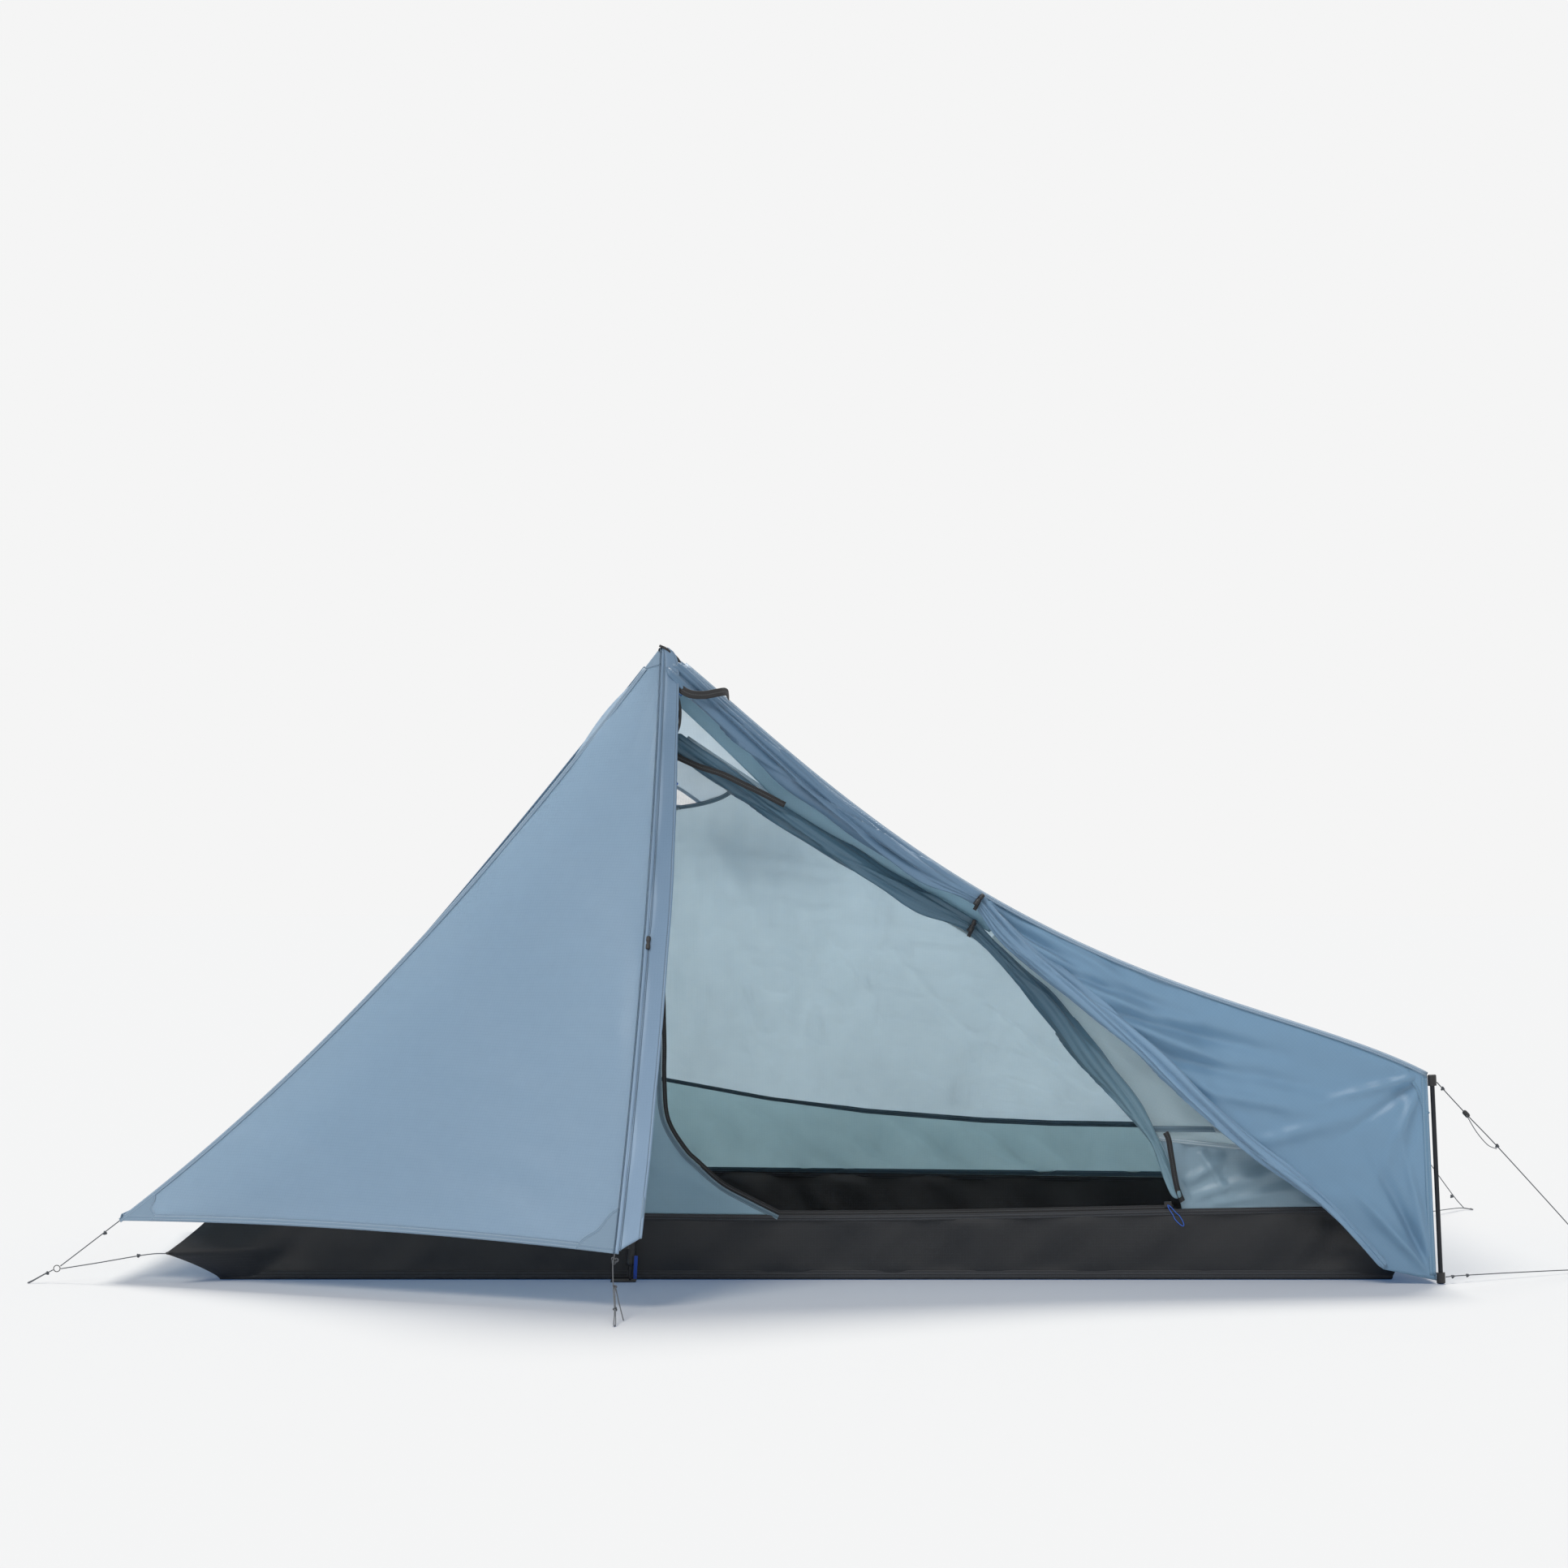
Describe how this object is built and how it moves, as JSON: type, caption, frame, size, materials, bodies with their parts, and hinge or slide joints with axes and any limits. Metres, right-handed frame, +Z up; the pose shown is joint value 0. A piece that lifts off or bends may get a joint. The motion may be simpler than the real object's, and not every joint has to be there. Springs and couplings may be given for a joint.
{
  "type": "tarp tent",
  "caption": "Low one-person tarp tent: five-panel fly with a rolled-back door, an inner tent with a bathtub floor, a trekking pole at the peak, foot struts and guylines.",
  "frame": {"origin": "middle of the groundsheet's underside, on the ground", "axes": "+X along the tent towards the foot end, +Y to the back, away from the doors, +Z up"},
  "size_m": [2.9142, 2.2098, 1.153],
  "materials": {
    "black_webbing": "woven webbing",
    "tub_cloth": "coated cloth, dark",
    "cobalt_cord": "braided cord, cobalt blue",
    "black_plastic": "moulded, black",
    "guyline": "braided cord",
    "strut_alloy": "dark anodised",
    "fly_cloth": "woven cloth, slight sheen",
    "fly_cloth_rolled": "rolled cloth",
    "inner_cloth": "thin woven cloth",
    "inner_cloth_rolled": "rolled fine mesh",
    "shaft_alloy": "drawn tube",
    "grip_foam": "foam"
  },
  "bodies": {
    "tent": {"apex_patch": "black_webbing", "bathtub_wall": "tub_cloth", "door_zip_tape": "black_webbing", "far_line": "guyline", "far_strut": "strut_alloy", "far_strut_foot_cap": "black_plastic", "far_strut_top_cap": "black_plastic", "fly_back_panel": "fly_cloth", "fly_door_panel": "fly_cloth", "fly_door_roll": "fly_cloth_rolled", "fly_foot_end": "fly_cloth", "fly_front_panel": "fly_cloth", "fly_head_end": "fly_cloth", "fly_roof_panel": "fly_cloth", "foot_strap": "black_webbing", "front_line": "guyline", "groundsheet": "tub_cloth", "inner_back_band": "inner_cloth", "inner_back_upper": "inner_cloth", "inner_door_roll": "inner_cloth_rolled", "inner_foot_end": "inner_cloth", "inner_front_left": "inner_cloth", "inner_front_right": "inner_cloth", "inner_front_right_low": "inner_cloth", "inner_head_end": "inner_cloth", "inner_mesh_window": "inner_cloth", "inner_roof_panel": "inner_cloth", "inner_tie_strap": "black_webbing", "inner_zip_tape": "black_webbing", "left_floor_line": "guyline", "left_line": "guyline", "left_ring": "black_plastic", "left_stake_loop": "guyline", "near_line": "guyline", "near_slack_loop": "guyline", "near_strut": "strut_alloy", "near_strut_foot_cap": "black_plastic", "near_strut_top_cap": "black_plastic", "outer_tie_strap": "black_webbing", "pole_grip": "grip_foam", "storm_flap": "fly_cloth", "upper_collar": "black_plastic", "upper_shaft": "shaft_alloy", "vent_hood": "fly_cloth", "wrist_strap": "black_webbing"},
    "pole_middle": {"middle_shaft": "shaft_alloy", "lower_collar": "black_plastic"},
    "pole_lower": {"lower_shaft": "shaft_alloy", "pole_tip": "black_plastic"},
    "upper_lever": {"upper_lever": "black_plastic"},
    "lower_lever": {"lower_lever": "black_plastic"},
    "door_slider": {"door_slider": "black_plastic"},
    "door_pull": {"door_pull": "cobalt_cord"},
    "inner_slider": {"inner_slider": "black_plastic"},
    "inner_pull": {"inner_pull": "cobalt_cord"},
    "flap_toggle": {"flap_toggle": "black_plastic"},
    "outer_toggle": {"outer_toggle": "black_plastic"},
    "inner_toggle": {"inner_toggle": "black_plastic"},
    "near_tensioner": {"near_tensioner": "black_plastic"}
  },
  "joints": [
    {"name": "pole_middle_slide", "type": "slide", "parent": "tent", "child": "pole_middle", "axis": [0.0601, 0, 0.9982], "range_m": [0, 0.25]},
    {"name": "pole_lower_slide", "type": "slide", "parent": "pole_middle", "child": "pole_lower", "axis": [0.0601, 0, 0.9982], "range_m": [0, 0.25]},
    {"name": "upper_lever_hinge", "type": "hinge", "parent": "tent", "child": "upper_lever", "pos_m": [-0.26571, -0.47777, 0.72314], "axis": [0.0601, 0, 0.9982], "range_deg": [0, 110]},
    {"name": "lower_lever_hinge", "type": "hinge", "parent": "pole_middle", "child": "lower_lever", "pos_m": [-0.28494, -0.47777, 0.40372], "axis": [0.0601, 0, 0.9982], "range_deg": [0, 110]},
    {"name": "door_slider_slide", "type": "slide", "parent": "tent", "child": "door_slider", "axis": [-0.0351, -0.3991, -0.9162], "range_m": [0, 0.25]},
    {"name": "door_pull_hinge", "type": "hinge", "parent": "door_slider", "child": "door_pull", "pos_m": [-0.23561, -0.49457, 1.08044], "axis": [0.1483, -0.9889, 0], "range_deg": [-10, 60]},
    {"name": "inner_slider_slide", "type": "slide", "parent": "tent", "child": "inner_slider", "axis": [-0.9999, 0, -0.0163], "range_m": [0, 0.62]},
    {"name": "inner_pull_hinge", "type": "hinge", "parent": "inner_slider", "child": "inner_pull", "pos_m": [0.6599, -0.4422, 0.13704], "axis": [0, -1, 0], "range_deg": [-45, 60]},
    {"name": "flap_toggle_turn", "type": "hinge", "parent": "tent", "child": "flap_toggle", "pos_m": [-0.27812, -0.71155, 0.61972], "axis": [0.1367, -0.9113, 0.3885], "range_deg": [-60, 60]},
    {"name": "outer_toggle_turn", "type": "hinge", "parent": "tent", "child": "outer_toggle", "pos_m": [0.31246, -0.5149, 0.69438], "axis": [-0.0158, -0.9998, 0.0108], "range_deg": [-60, 60]},
    {"name": "inner_toggle_turn", "type": "hinge", "parent": "tent", "child": "inner_toggle", "pos_m": [0.30226, -0.4719, 0.64622], "axis": [0, -1, 0], "range_deg": [-60, 60]},
    {"name": "near_tensioner_slide", "type": "slide", "parent": "tent", "child": "near_tensioner", "axis": [0.6615, 0.3903, -0.6404], "range_m": [0, 0.03]}
  ]
}
